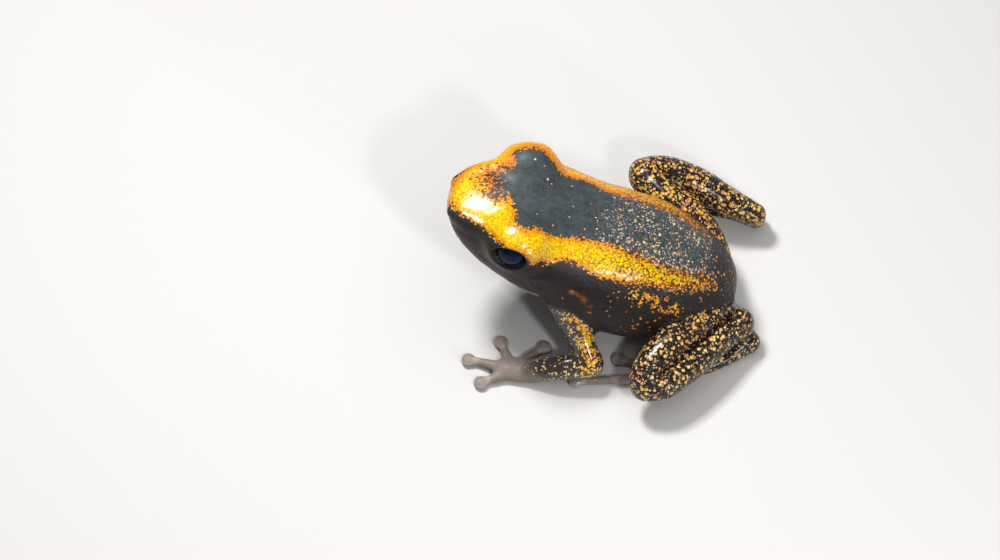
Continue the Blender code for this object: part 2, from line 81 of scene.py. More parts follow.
# Head and trunk
# The soft mass of head and trunk is one run of cross-sections, rounder above than below, from the blunt
# snout over the widest place behind the arms to the drawn-in rump. It becomes distances on a fine grid,
# so that everything that follows can grow out of it as flesh does.
BODY = [  # back line x and z, belly line x and z, half width, height share of the widest level, roundness
    (-18.46, 9.75, -18.46, 9.45, 0.20, 0.50, 2.0, 2.0),
    (-18.36, 10.20, -18.32, 8.95, 0.85, 0.55, 2.1, 2.0),
    (-17.98, 10.66, -17.90, 8.25, 1.62, 0.58, 2.3, 2.1),
    (-17.20, 10.98, -17.10, 7.45, 2.38, 0.60, 2.4, 2.2),
    (-16.00, 11.12, -15.95, 6.75, 3.12, 0.62, 2.5, 2.3),
    (-14.60, 11.14, -14.55, 6.10, 3.76, 0.62, 2.6, 2.3),
    (-13.20, 11.00, -13.15, 5.40, 4.20, 0.62, 2.6, 2.3),
    (-11.80, 10.62, -11.85, 4.50, 4.42, 0.60, 2.6, 2.3),
    (-10.30, 9.98, -10.55, 3.20, 4.52, 0.58, 2.45, 2.3),
    (-8.75, 9.36, -9.10, 2.00, 4.68, 0.57, 2.2, 2.3),
    (-7.00, 8.94, -7.30, 1.25, 4.76, 0.57, 2.1, 2.3),
    (-5.10, 8.52, -5.20, 0.90, 4.46, 0.56, 2.1, 2.3),
    (-3.30, 7.80, -3.20, 0.85, 3.74, 0.55, 2.1, 2.2),
    (-1.80, 6.75, -1.60, 1.05, 2.82, 0.52, 2.1, 2.1),
    (-0.72, 5.50, -0.55, 1.50, 1.95, 0.50, 2.0, 2.0),
    (-0.14, 4.30, -0.08, 2.20, 1.15, 0.50, 2.0, 2.0),
    (0.00, 3.45, 0.00, 3.10, 0.25, 0.50, 2.0, 2.0),
]
END_CAP = 0.04
BODY_LENGTH = 18.46 + 2 * END_CAP
GRID_STEP = 0.09
GRID_MARGIN = 0.5
REACH = 1.1  # how far from a surface its distances are kept


def smooth_rows(rows, count):
    """A smooth curve through the rows, sampled at count places."""
    rows = np.array(rows, float)
    steps = np.linalg.norm(np.diff(rows, axis=0), axis=1) ** 0.5
    at = np.concatenate([[0.0], np.cumsum(steps)])
    slopes = np.gradient(rows, at, axis=0)
    samples = np.linspace(0.0, at[-1], count)
    index = np.clip(np.searchsorted(at, samples, side="right") - 1, 0, len(rows) - 2)
    span = (at[index + 1] - at[index])[:, None]
    t = (samples - at[index])[:, None] / span
    start, end = rows[index], rows[index + 1]
    return (
        (2 * t**3 - 3 * t**2 + 1) * start
        + (t**3 - 2 * t**2 + t) * span * slopes[index]
        + (3 * t**2 - 2 * t**3) * end
        + (t**3 - t**2) * span * slopes[index + 1]
    )


def body_points(rows, degrees, rise=0.0):
    """Places on the skin of each cross-section, so many degrees above its widest level."""
    rows, turn = np.atleast_2d(rows)[:, None, :], np.radians(np.atleast_1d(degrees))[None, :]
    top = np.stack([rows[..., 0], 0 * rows[..., 0], rows[..., 1]], axis=-1)
    bottom = np.stack([rows[..., 2], 0 * rows[..., 0], rows[..., 3]], axis=-1)
    height = np.linalg.norm(top - bottom, axis=-1, keepdims=True)
    middle = top + (bottom - top) * rows[..., 5:6]
    across, along = np.cos(turn), np.sin(turn)
    power = 2.0 / np.where(along >= 0, rows[..., 6], rows[..., 7])
    reach = np.where(along >= 0, rows[..., 5], 1 - rows[..., 5]) * height[..., 0] + rise
    side = np.sign(across) * np.abs(across) ** power * (rows[..., 4] + rise)
    lift = np.sign(along) * np.abs(along) ** power * reach
    return middle + side[..., None] * np.array([0.0, 1.0, 0.0]) + lift[..., None] * (top - bottom) / height


BODY_FINE = smooth_rows(BODY, 240)
BODY_MIDDLE = (BODY_FINE[:, 0] + BODY_FINE[:, 2]) / 2


def body_row(x):
    """The cross-section at x."""
    return [np.interp(x, BODY_MIDDLE, BODY_FINE[:, column]) for column in range(BODY_FINE.shape[1])]


def skin_point(x, degrees, side, rise=0.0):
    """The place on the skin of head or trunk at x, on the frog's left (-1) or right (1) side."""
    return body_points(body_row(x), degrees, rise)[0, 0] * np.array([1.0, side, 1.0])


def around_body(points):
    """How many degrees above the widest level of the body each place lies: 90 at the middle of the back."""
    row = [np.interp(points[:, 0], BODY_MIDDLE, BODY_FINE[:, column]) for column in range(BODY_FINE.shape[1])]
    level = row[1] + (row[3] - row[1]) * row[5]
    height = points[:, 2] - level
    reach = np.where(height >= 0, row[1] - level, level - row[3])
    power = np.where(height >= 0, row[6], row[7]) / 2
    across = (np.abs(points[:, 1]) / row[4]) ** power
    lift = np.sign(height) * (np.abs(height) / reach) ** power
    return np.degrees(np.arctan2(lift, across))


snout_x, rump_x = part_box("head")[0].x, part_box("trunk")[1].x
unit = (rump_x - snout_x) / BODY_LENGTH
spine_y = (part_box("trunk")[0].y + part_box("trunk")[1].y) / 2
shift = np.array([rump_x - END_CAP * unit, spine_y, 0.0])
grid_low = (np.array(cad_box[0]) - shift) / unit - GRID_MARGIN
grid_high = (np.array(cad_box[1]) - shift) / unit + GRID_MARGIN
grid_size = np.ceil((grid_high - grid_low) / GRID_STEP).astype(int) + 1
grid_axes = [grid_low[k] + GRID_STEP * np.arange(grid_size[k]) for k in range(3)]


def body_distances():
    """How far each place of the grid lies outside the skin of head and trunk."""
    degrees = np.arange(0, 360, 2.5)
    rings = body_points(BODY_FINE, degrees)
    count, sides = rings.shape[:2]
    ends = [rings[0].mean(axis=0) - [END_CAP, 0, 0], rings[-1].mean(axis=0) + [END_CAP, 0, 0]]
    points = np.concatenate([rings.reshape(-1, 3), ends])
    i, j = np.meshgrid(np.arange(count - 1), np.arange(sides), indexing="ij")
    a, b = (i * sides + j).ravel(), (i * sides + (j + 1) % sides).ravel()
    walls = np.concatenate([np.stack([a, b, b + sides], 1), np.stack([a, b + sides, a + sides], 1)])
    j = np.arange(sides)
    front = np.stack([0 * j + count * sides, (j + 1) % sides, j], axis=1)
    last = (count - 1) * sides
    back = np.stack([0 * j + count * sides + 1, last + j, last + (j + 1) % sides], axis=1)
    faces = np.concatenate([walls, front, back]).astype(np.uint32)
    spacing = openvdb.createLinearTransform(voxelSize=1.0)
    band = REACH / GRID_STEP
    local = ((points - grid_low) / GRID_STEP).astype(np.float32)
    level = openvdb.FloatGrid.createLevelSetFromPolygons(
        local, triangles=faces, transform=spacing, halfWidth=band
    )
    distances = np.zeros(grid_size, np.float32)
    level.copyToArray(distances)
    return distances * GRID_STEP


form = body_distances()

# Growing one part out of another
# Flesh has no seams: where two parts meet, the skin rounds the corner between them, widely at a limb's root
# and tightly in a fold. Each part is a distance of its own, joined to the rest with its own softness.


def window(low, high):
    """The slices of the grid around a box of the frog, and the places in them."""
    slices = []
    for k in range(3):
        first = int(np.clip((low[k] - REACH - grid_low[k]) / GRID_STEP, 0, grid_size[k] - 1))
        last = int(np.clip((high[k] + REACH - grid_low[k]) / GRID_STEP + 2, 1, grid_size[k]))
        slices.append(slice(first, last))
    x, y, z = [grid_axes[k][slices[k]] for k in range(3)]
    return tuple(slices), (x[:, None, None], y[None, :, None], z[None, None, :])


def joined(first, second, softness):
    """Two shapes in one, the corner between them rounded over this much."""
    share = np.clip(0.5 + 0.5 * (second - first) / softness, 0.0, 1.0)
    return second + (first - second) * share - softness * share * (1.0 - share)


def carved(first, second, softness):
    """The first shape with the second cut out of it, its edge rounded over this much."""
    return -joined(-first, second, softness)


def strand(places, rows):
    """Distance to a rope of flesh through rows of x, y, z and radius."""
    nearest = None
    for start, end in zip(rows[:-1], rows[1:]):
        way = end[:3] - start[:3]
        offsets = [places[k] - start[k] for k in range(3)]
        along = sum(offsets[k] * way[k] for k in range(3)) / (way @ way)
        along = np.clip(along, 0.0, 1.0)
        gap = sum((offsets[k] - along * way[k]) ** 2 for k in range(3))
        distance = np.sqrt(gap) - (start[3] + along * (end[3] - start[3]))
        nearest = distance if nearest is None else np.minimum(nearest, distance)
    return nearest


def oval(places, centre, radii, axes=np.eye(3)):
    """Distance to an egg shape with three radii along three directions."""
    offsets = [places[k] - centre[k] for k in range(3)]
    local = [sum(offsets[k] * axes[i][k] for k in range(3)) for i in range(3)]
    first = np.sqrt(sum((local[i] / radii[i]) ** 2 for i in range(3)))
    second = np.sqrt(sum((local[i] / radii[i] ** 2) ** 2 for i in range(3)))
    return first * (first - 1.0) / np.maximum(second, 1e-6)


def rows_box(rows):
    """The corners of the box around rows of x, y, z and radius."""
    rows = np.array(rows)
    return rows[:, :3].min(axis=0) - rows[:, 3].max(), rows[:, :3].max(axis=0) + rows[:, 3].max()


def add_strand(rows, softness, count=None, carve=False):
    """Joins a rope of flesh to the form, or carves its channel out of it."""
    rows = smooth_rows(rows, count) if count else np.array(rows, float)
    slices, places = window(*rows_box(rows))
    shape = strand(places, rows)
    form[slices] = (carved if carve else joined)(form[slices], shape, softness)


def add_oval(centre, radii, axes, softness, carve=False):
    """Joins an egg shape to the form, or carves its hollow out of it."""
    centre = np.array(centre, float)
    slices, places = window(centre - max(radii), centre + max(radii))
    shape = oval(places, centre, radii, np.array(axes, float))
    form[slices] = (carved if carve else joined)(form[slices], shape, softness)


# Brow, snout ridge and lids
# The eye sits in a dome that rises from the crown, with a thick fold of skin above it and a thin one below.
# A blunt ridge runs from the nostril to the front of each eye.
EYE_CENTRE = np.array([-13.78, 3.00, 9.93])
EYE_RADIUS = 1.28
GAZE = np.array([-0.20, 0.95, 0.25])
DOME_CENTRE = np.array([-13.68, 2.80, 10.02])
DOME_RADII = (1.95, 1.78, 1.69)
EYE_SLIT = (1.13, 0.86)  # half length and half height
CANTHUS = [(-17.9, 46.0, 0.34), (-17.0, 46.0, 0.46), (-15.9, 48.0, 0.52), (-15.0, 50.0, 0.50)]
CANTHUS_RISE = -0.17
CANTHUS_SOFTNESS = 0.6
DOME_SOFTNESS = 0.85
LID = (0.06, 0.80, 0.24)  # how far outside the slit and in front of the eye's middle, and its radius
LID_SOFTNESS = 0.25
SLIT_DEPTH = 1.5
EYE_GAP = 0.14  # how far the skin reaches under the rim of the eye


def eye_axes(side):
    """Along the slit, across it, and out of the eye."""
    out = GAZE * [1, side, 1] / np.linalg.norm(GAZE)
    along = np.array([-1.0, -0.1 * side, -0.12])
    along -= out * (along @ out)
    along /= np.linalg.norm(along)
    return np.array([along, np.cross(out, along), out])


def lid_ring(side, lift, out, radius, count=28):
    """A ring of skin around the eye, so far outside the slit and in front of the eye's middle."""
    axes, centre = eye_axes(side), EYE_CENTRE * [1, side, 1]
    turns = np.linspace(0, 2 * math.pi, count + 1)
    ring = [
        centre + axes[0] * (EYE_SLIT[0] + lift) * math.cos(t) + axes[1] * (EYE_SLIT[1] + lift) * math.sin(t)
        + axes[2] * out
        for t in turns
    ]
    return np.array([(*place, radius) for place in ring])


for side in (-1, 1):
    mirror = np.array([1.0, side, 1.0])
    ridge = [(*skin_point(x, degrees, side, CANTHUS_RISE), radius) for x, degrees, radius in CANTHUS]
    add_strand(ridge, CANTHUS_SOFTNESS, 14)
    add_oval(DOME_CENTRE * mirror, DOME_RADII, np.eye(3), DOME_SOFTNESS)
    add_strand(lid_ring(side, *LID), LID_SOFTNESS)
    slit_axes = eye_axes(side)
    eye_place = EYE_CENTRE * mirror
    slices, places = window(eye_place - 2.0, eye_place + 2.0)
    slit = oval(places, eye_place + slit_axes[2] * SLIT_DEPTH, (*EYE_SLIT, SLIT_DEPTH), slit_axes)
    behind = oval(places, eye_place, (EYE_RADIUS - EYE_GAP,) * 3)
    form[slices] = np.minimum(carved(form[slices], slit, 0.10), np.maximum(behind, form[slices]))

# Mouth, nostrils and eardrums
# The mouth is a long closed slit under an overhanging upper lip. The nostrils open at the ends of the snout
# ridge, and behind each corner of the mouth lies the small round eardrum.
MOUTH = [  # x, and degrees above the widest level
    (-18.24, -89.0), (-18.22, -78.0), (-18.10, -62.0), (-17.70, -46.0), (-16.90, -36.0), (-15.60, -30.0),
    (-14.20, -26.0), (-13.00, -21.0), (-12.20, -16.0),
]
NOSTRIL = (-17.60, 36.0, 0.13)  # x, degrees and radius
EARDRUM = (-12.15, 8.0, 0.52)
LIP_SOFTNESS = 0.22

for side in (-1, 1):
    upper = [(*skin_point(x, degrees + 5.5, side, -0.12), 0.20) for x, degrees in MOUTH[1:]]
    lower = [(*skin_point(x, degrees - 6.0, side, -0.14), 0.17) for x, degrees in MOUTH[1:]]
    add_strand(upper, LIP_SOFTNESS, 40)
    add_strand(lower, LIP_SOFTNESS, 40)
    x, degrees, radius = EARDRUM
    drum = skin_point(x, degrees, side)
    outward = np.array([0.10, side * 0.98, 0.10])
    flat = np.array([[1.0, -0.10 * side, 0.0], [0.0, -0.10, 0.98 * side], outward])
    add_oval(drum, (radius + 0.10, radius + 0.10, 0.07), flat, 0.15)
    add_oval(drum + outward * 0.12, (radius, radius, 0.10), flat, 0.10, carve=True)
    x, degrees, radius = NOSTRIL
    add_oval(skin_point(x, degrees, side, -0.05), (radius + 0.13,) * 3, np.eye(3), 0.12)
    add_oval(skin_point(x - 0.06, degrees, side, 0.05), (radius,) * 3, np.eye(3), 0.06, carve=True)
groove = [(*skin_point(x, degrees, side, 0.02), 0.055) for side in (-1, 1) for x, degrees in MOUTH[:: side]]
add_strand(groove, 0.10, 110, carve=True)

# Arms
# Short arms, the upper one broad where the skin of the chest runs onto it, bent at the elbow so that the
# forearm lies along the floor. Four slim fingers end in small discs.
LEFT_ARM = {
    "upper": [(-10.6, -3.3, 5.7, 1.15), (-10.05, -4.25, 4.45, 0.98), (-9.3, -5.0, 3.15, 0.84),
              (-8.55, -5.95, 1.75, 0.82)],
    "fore": [(-8.55, -5.95, 1.75, 0.82), (-9.5, -6.15, 1.66, 0.84), (-10.6, -6.3, 1.38, 0.86),
             (-12.1, -6.35, 0.84, 0.70)],
    "palm": [(-12.1, -6.35, 0.84, 0.68), (-13.0, -6.3, 0.66, 0.80), (-13.9, -6.25, 0.60, 0.74)],
    "digits": [
        [(-13.1, -5.9, 0.42, 0.36), (-12.4, -5.05, 0.36, 0.31), (-11.65, -4.25, 0.30, 0.30)],
        [(-13.5, -6.0, 0.42, 0.38), (-14.0, -5.2, 0.36, 0.31), (-14.5, -4.25, 0.30, 0.30)],
        [(-13.8, -6.3, 0.40, 0.40), (-15.0, -6.05, 0.36, 0.32), (-16.35, -5.85, 0.30, 0.31)],
        [(-13.6, -6.5, 0.40, 0.38), (-14.5, -7.0, 0.36, 0.31), (-15.35, -7.45, 0.30, 0.30)],
    ],
}
RIGHT_ARM = {
    "upper": [(-10.6, 3.3, 5.7, 1.15), (-10.1, 4.25, 4.45, 0.98), (-9.4, 5.0, 3.15, 0.84),
              (-8.75, 5.95, 1.75, 0.82)],
    "fore": [(-8.75, 5.95, 1.75, 0.82), (-9.6, 6.15, 1.66, 0.84), (-10.7, 6.25, 1.38, 0.86),
             (-12.2, 6.2, 0.84, 0.70)],
    "palm": [(-12.2, 6.2, 0.84, 0.68), (-13.1, 6.1, 0.66, 0.80), (-14.0, 5.95, 0.60, 0.74)],
    "digits": [
        [(-13.2, 5.7, 0.42, 0.36), (-12.6, 4.8, 0.36, 0.31), (-12.1, 3.9, 0.30, 0.30)],
        [(-13.6, 5.7, 0.42, 0.38), (-14.2, 4.9, 0.36, 0.31), (-14.8, 4.0, 0.30, 0.30)],
        [(-13.9, 5.9, 0.40, 0.40), (-15.1, 5.55, 0.36, 0.32), (-16.4, 5.15, 0.30, 0.31)],
        [(-13.7, 6.2, 0.40, 0.38), (-14.7, 6.6, 0.36, 0.31), (-15.7, 6.9, 0.30, 0.30)],
    ],
}
DISC_RADII = (0.46, 0.50, 0.24)  # along the digit, across it, and up
FLATTENING = 0.66  # of palm and sole
FLAT_PACE = 0.85  # about how a distance shrinks when a flattened palm is back in shape
KNUCKLES = 0.10  # how much a digit swells at its joints
ARM_ROOT = 0.85
near_body = form.copy()
near_arm, near_hand, near_leg, near_foot = [np.full(grid_size, REACH, np.float32) for _ in range(4)]


def paw(places, base, digits):
    """Distance to a palm or sole with its digits, each ending in a flat disc with two small plates on top."""
    base = smooth_rows(base, 9)
    base[:, 2] *= FLATTENING
    squashed = (places[0], places[1], places[2] / FLATTENING)
    lifted = base.copy()
    lifted[:, 2] /= FLATTENING
    shape = strand(squashed, lifted) * FLAT_PACE
    for points in digits:
        rows = smooth_rows(points, 12)
        share = np.linspace(0.0, 1.0, len(rows))
        rows[:, 3] *= 0.96 + KNUCKLES * np.cos(2 * math.pi * 2 * share)
        digit = strand(places, rows)
        tip, before = rows[-1], rows[-3]
        along = np.array([tip[0] - before[0], tip[1] - before[1], 0.0])
        along /= np.linalg.norm(along)
        axes = np.array([along, [-along[1], along[0], 0.0], [0.0, 0.0, 1.0]])
        digit = joined(digit, oval(places, tip[:3], DISC_RADII, axes), 0.12)
        crack = np.array([(*(tip[:3] + along * reach + [0, 0, 0.27]), 0.05) for reach in (-0.25, 0.4)])
        digit = carved(digit, strand(places, crack), 0.06)
        shape = joined(shape, digit, 0.30)
    return shape


def limb_box(limb):
    """The corners of the box around an arm or a leg."""
    rows = [row for key, part in limb.items() for row in (sum(part, []) if key == "digits" else part)]
    return rows_box(rows)


for arm in (LEFT_ARM, RIGHT_ARM):
    slices, places = window(*limb_box(arm))
    upper = strand(places, smooth_rows(arm["upper"], 24))
    fore = strand(places, smooth_rows(arm["fore"], 24))
    hand = paw(places, arm["palm"], arm["digits"])
    form[slices] = joined(form[slices], upper, ARM_ROOT)
    form[slices] = joined(form[slices], joined(fore, hand, 0.30), 0.28)
    near_arm[slices] = np.minimum(near_arm[slices], np.minimum(upper, fore))
    near_hand[slices] = np.minimum(near_hand[slices], hand)

# Legs
# The hind legs are folded like a Z: a full thigh along the flank, the calf pressed back against it, and the
# long ankle under the calf, with five toes of which the fourth is by far the longest.
LEFT_LEG = {
    "thigh": [(-0.9, -1.3, 2.8, 1.00), (-2.2, -3.0, 3.4, 1.20), (-3.6, -4.9, 3.45, 1.18),
              (-4.55, -6.3, 3.25, 1.10), (-4.85, -7.05, 3.0, 1.04)],
    "shank": [(-4.80, -7.46, 2.45, 1.02), (-3.9, -7.2, 2.45, 1.06), (-2.1, -5.2, 2.42, 1.12),
              (-0.6, -3.1, 2.25, 1.04), (0.50, -1.75, 2.0, 0.94)],
    "tarsus": [(1.20, -2.35, 0.80, 0.72), (0.2, -3.3, 0.60, 0.54), (-1.2, -4.3, 0.52, 0.50),
               (-2.6, -4.95, 0.50, 0.50)],
    "sole": [(-2.6, -4.95, 0.80, 0.56), (-3.4, -5.25, 0.66, 0.66), (-4.2, -5.45, 0.56, 0.60)],
    "digits": [
        [(-2.8, -4.8, 0.38, 0.34), (-3.5, -4.25, 0.34, 0.28), (-4.3, -3.85, 0.30, 0.27)],
        [(-3.2, -5.0, 0.38, 0.35), (-4.4, -4.35, 0.34, 0.29), (-5.5, -3.9, 0.30, 0.28)],
        [(-3.6, -5.2, 0.38, 0.36), (-5.3, -4.85, 0.35, 0.31), (-6.9, -4.45, 0.30, 0.30)],
        [(-3.8, -5.4, 0.38, 0.38), (-6.4, -5.95, 0.34, 0.33), (-9.4, -6.45, 0.27, 0.29)],
        [(-3.6, -5.5, 0.38, 0.36), (-4.1, -6.0, 0.35, 0.31), (-4.6, -6.7, 0.30, 0.30)],
    ],
}
RIGHT_LEG = {
    "thigh": [(-1.2, 1.3, 2.8, 1.00), (-2.25, 3.3, 3.2, 1.14), (-3.65, 4.7, 3.6, 1.20),
              (-5.3, 5.8, 3.95, 1.16), (-6.6, 6.80, 4.15, 1.04)],
    "shank": [(-6.8, 7.25, 4.10, 1.04), (-5.9, 7.6, 3.95, 1.10), (-3.6, 7.3, 3.60, 1.12),
              (-1.2, 6.7, 2.75, 0.92), (0.45, 6.5, 1.95, 0.76)],
    "tarsus": [(0.50, 6.95, 0.88, 0.66), (-0.7, 7.3, 0.62, 0.54), (-2.2, 7.5, 0.52, 0.50),
               (-3.6, 7.6, 0.50, 0.50)],
    "sole": [(-3.6, 7.6, 0.80, 0.56), (-4.4, 7.65, 0.66, 0.66), (-5.2, 7.65, 0.56, 0.60)],
    "digits": [
        [(-3.8, 7.4, 0.38, 0.34), (-4.4, 6.8, 0.34, 0.28), (-5.1, 6.25, 0.30, 0.27)],
        [(-4.2, 7.5, 0.38, 0.35), (-5.2, 6.8, 0.34, 0.29), (-6.2, 6.15, 0.30, 0.28)],
        [(-4.6, 7.6, 0.38, 0.36), (-6.2, 7.2, 0.35, 0.31), (-7.7, 6.65, 0.30, 0.30)],
        [(-4.8, 7.7, 0.38, 0.38), (-7.4, 7.8, 0.34, 0.33), (-10.1, 7.5, 0.27, 0.29)],
        [(-4.6, 7.8, 0.38, 0.36), (-5.8, 8.3, 0.35, 0.31), (-7.0, 8.6, 0.30, 0.30)],
    ],
}
LEG_ROOT = 0.30
FOLD = 0.07  # softness of the fold between two lengths pressed together
BEND = 0.75  # how much softer a knee or heel is than the fold beside it
BEND_REACH = 1.1
CREASE = (-0.02, 0.17, 0.22)  # how far out it lies, its radius and its softness


def near_bend(places, first, second):
    """The softness between two folded lengths: large round the bend they share, small in the fold."""
    hinge = (np.array(first[-1][:3]) + np.array(second[0][:3])) / 2
    gap = sum((places[k] - hinge[k]) ** 2 for k in range(3))
    return FOLD + BEND * np.exp(-gap / BEND_REACH**2)


def crease_rows(first, second):
    """The fold between two lengths that lie side by side, on their outer, upper side."""
    first, second = smooth_rows(first, 40), smooth_rows(second, 40)
    rows = []
    for k in range(9, 37):
        row = second[k]
        other = first[np.argmin(np.linalg.norm(first[:, :3] - row[:3], axis=1))]
        apart = row[:3] - other[:3]
        out = np.cross(apart, second[k + 1][:3] - second[k - 1][:3])
        out *= np.sign(out[2]) / np.linalg.norm(out)
        depth = math.sqrt(max(((row[3] + other[3]) / 2) ** 2 - (apart @ apart) / 4, 0.04))
        rows.append((*((row[:3] + other[:3]) / 2 + out * (depth + CREASE[0])), CREASE[1]))
    return rows


for leg in (LEFT_LEG, RIGHT_LEG):
    slices, places = window(*limb_box(leg))
    thigh = strand(places, smooth_rows(leg["thigh"], 24))
    shank = strand(places, smooth_rows(leg["shank"], 24))
    tarsus = strand(places, smooth_rows(leg["tarsus"], 18))
    foot = paw(places, leg["sole"], leg["digits"])
    lower = joined(tarsus, foot, 0.25)
    form[slices] = joined(form[slices], thigh, LEG_ROOT)
    form[slices] = joined(form[slices], shank, near_bend(places, leg["thigh"], leg["shank"]))
    add_strand(crease_rows(leg["thigh"], leg["shank"]), CREASE[2], carve=True)
    form[slices] = joined(form[slices], lower, near_bend(places, leg["shank"], leg["tarsus"]))
    near_leg[slices] = np.minimum(near_leg[slices], np.minimum(tarsus, np.minimum(thigh, shank)))
    near_foot[slices] = np.minimum(near_foot[slices], foot)

# The skin
# One unbroken skin over everything but the eyes. It is drawn over the finished form as a closed mesh, cut
# flat where it rests on the floor, with the slight unevenness of soft flesh.
FLOOR_SOFTNESS = 0.06
SKIN_TRIANGLES = 192000
KEPT_STEPS = 4  # grid steps whose distances are kept on either side of the skin
SETTLINGS = 3  # how often the mesh is drawn onto the form
CALM_HEIGHT = 0.6  # below it the skin flattens towards the floor
UNEVEN = ((0.9, 0.030), (0.35, 0.010))  # spacing and height of the unevenness


def blurred(values, times):
    """The grid's values, each mixed so many times with its neighbours."""
    for _ in range(times):
        for axis in range(3):
            before, after = np.roll(values, 1, axis), np.roll(values, -1, axis)
            values = 0.5 * values + 0.25 * (before + after)
    return values


def sampled(values, points):
    """The grid's values at any places, mixed from the eight grid points around each."""
    local = np.clip((points - grid_low) / GRID_STEP, 0, np.array(values.shape) - 1.001)
    cell = local.astype(int)
    part = local - cell
    total = 0.0
    for corner in np.ndindex(2, 2, 2):
        weight = np.prod(np.where(corner, part, 1 - part), axis=1)
        total = total + weight * values[tuple((cell + corner).T)]
    return total


form = blurred(form, 1)
form = carved(form, grid_axes[2][None, None, :] + np.zeros_like(form), FLOOR_SOFTNESS)
field = openvdb.FloatGrid(REACH)
field.copyFromArray(np.clip(form, -KEPT_STEPS * GRID_STEP, KEPT_STEPS * GRID_STEP).astype(np.float32))
points, quads = field.convertToQuads(0.0)
points = points.astype(float) * GRID_STEP + grid_low
for _ in range(SETTLINGS):
    slope = np.stack(
        [
            (sampled(form, points + step) - sampled(form, points - step)) / GRID_STEP
            for step in np.eye(3) * GRID_STEP / 2
        ],
        axis=1,
    )
    steep = np.maximum((slope**2).sum(axis=1, keepdims=True), 0.25)
    points = points - slope / steep * sampled(form, points)[:, None]
normals = slope / np.sqrt(steep)
for spacing, height in UNEVEN:
    bumps = np.array([noise.noise(Vector(p) / spacing) for p in points])
    points = points + normals * (bumps * height * np.clip(points[:, 2] / CALM_HEIGHT, 0, 1))[:, None]
points[:, 2] = np.maximum(points[:, 2], 0.0)

skin_mesh = bpy.data.meshes.new("skin")
skin_mesh.from_pydata([tuple(p) for p in points * unit + shift], [], [tuple(q) for q in quads.tolist()])
skin_mesh.validate()
skin = bpy.data.objects.new("skin", skin_mesh)
bpy.context.scene.collection.objects.link(skin)
thinner = skin.modifiers.new("fewer_faces", "DECIMATE")
thinner.ratio = SKIN_TRIANGLES / (2 * len(skin_mesh.polygons))
bpy.context.view_layer.update()
skin.data = bpy.data.meshes.new_from_object(skin.evaluated_get(bpy.context.evaluated_depsgraph_get()))
skin.modifiers.remove(thinner)
work = bmesh.new()
work.from_mesh(skin.data)
bmesh.ops.recalc_face_normals(work, faces=work.faces)
if work.calc_volume(signed=True) < 0:
    bmesh.ops.reverse_faces(work, faces=work.faces)
work.to_mesh(skin.data)
work.free()
skin.data.shade_smooth()
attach(skin, "root")
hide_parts(*[node for node in frame["nodes"] if not node.endswith("_eye")])

# Markings
# Two gold bands run down the sides of the back and meet over the snout, round a slate field that is open to
# the rump. Each edge breaks up into grains. The limbs are black with gold grains, and the paws bare and grey.
GOLD_EDGE = [  # x, and degrees from the middle of the back, left side negative
    (-1.20, -35.0), (-1.75, -30.0), (-2.83, -27.4), (-3.76, -27.1), (-4.71, -24.6), (-5.77, -21.3),
    (-6.72, -18.0), (-7.65, -16.8), (-8.61, -16.4), (-9.54, -17.1), (-10.46, -19.7), (-11.43, -22.6),
    (-12.01, -22.1), (-12.49, -20.8), (-13.03, -24.9), (-13.52, -24.7), (-13.91, -25.4), (-13.96, -12.2),
    (-14.49, -2.4), (-15.61, -1.9), (-15.15, 5.8), (-15.70, 18.5), (-15.07, 22.0), (-14.55, 22.7),
    (-14.58, 31.0), (-14.06, 32.0), (-13.49, 32.0), (-13.03, 31.6), (-12.43, 27.6), (-11.74, 25.2),
    (-11.07, 29.4), (-10.44, 32.9), (-9.80, 33.5), (-9.16, 31.7), (-8.18, 30.2), (-7.20, 31.3),
    (-6.27, 29.7), (-5.27, 28.4), (-4.47, 28.7), (-3.71, 27.9), (-2.30, 25.0), (-2.45, 40.0),
    (-3.96, 52.0), (-5.20, 56.0), (-7.30, 57.0), (-9.30, 58.0), (-10.60, 57.0), (-11.90, 56.0),
    (-12.80, 57.0), (-13.90, 57.0), (-14.90, 56.0), (-15.94, 54.0), (-16.64, 52.0), (-17.40, 50.0),
    (-18.35, 47.0), (-18.60, 25.0), (-18.65, 0.0), (-18.60, -20.0), (-18.25, -34.0), (-17.37, -39.5),
    (-16.64, -37.3), (-15.94, -39.4), (-15.36, -41.7), (-14.57, -44.3), (-13.94, -45.9), (-13.33, -44.1),
    (-12.81, -47.3), (-12.49, -54.0), (-12.03, -48.0), (-11.53, -50.5), (-11.08, -44.3), (-10.33, -39.1),
    (-9.32, -42.0), (-8.32, -44.6), (-6.77, -43.9), (-5.18, -44.2), (-3.96, -44.7), (-2.75, -45.0),
    (-1.70, -41.0),
]
FRINGE = (0.28, 0.95)  # how wide an edge breaks up, on the flanks and over the snout
SNOUT_FRINGE = (-15.9, 0.6, 1.45)  # where the wide fringe lies: x, across and radius
RUMP_FRINGE = 0.35  # how much wider an edge breaks up towards the rump
LIMB_FADES = ((-0.10, 0.25), (-1.0, 0.1), (-0.05, 0.12), (-0.4, 0.1))  # over the root of arm, hand, leg, foot
HIP_GOLD = (-2.6, 3.4, 4.6)  # where the thigh's grains turn from pale to deep gold
FLANK_GOLD = [  # a patch of loose grains in front of the thigh, as x and degrees from the middle of the back
    (-5.9, -54.0), (-5.2, -58.0), (-4.4, -62.0), (-3.7, -67.0),
]
ARM_GOLD = [  # the middle of the gold patch on the outside of the upper arm
    (-9.9, -4.75, 5.5), (-9.3, -5.0, 4.6), (-8.75, -5.5, 3.6), (-8.5, -6.2, 2.6), (-8.6, -6.6, 1.9),
]
ARM_GOLD_RADIUS = 0.55
SMUDGE = [  # the thin brown streak above the root of the arm
    (-10.04, -4.33, 7.44), (-9.3, -4.4, 7.0), (-8.84, -4.52, 6.38),
]
SMUDGE_REACH = 0.28


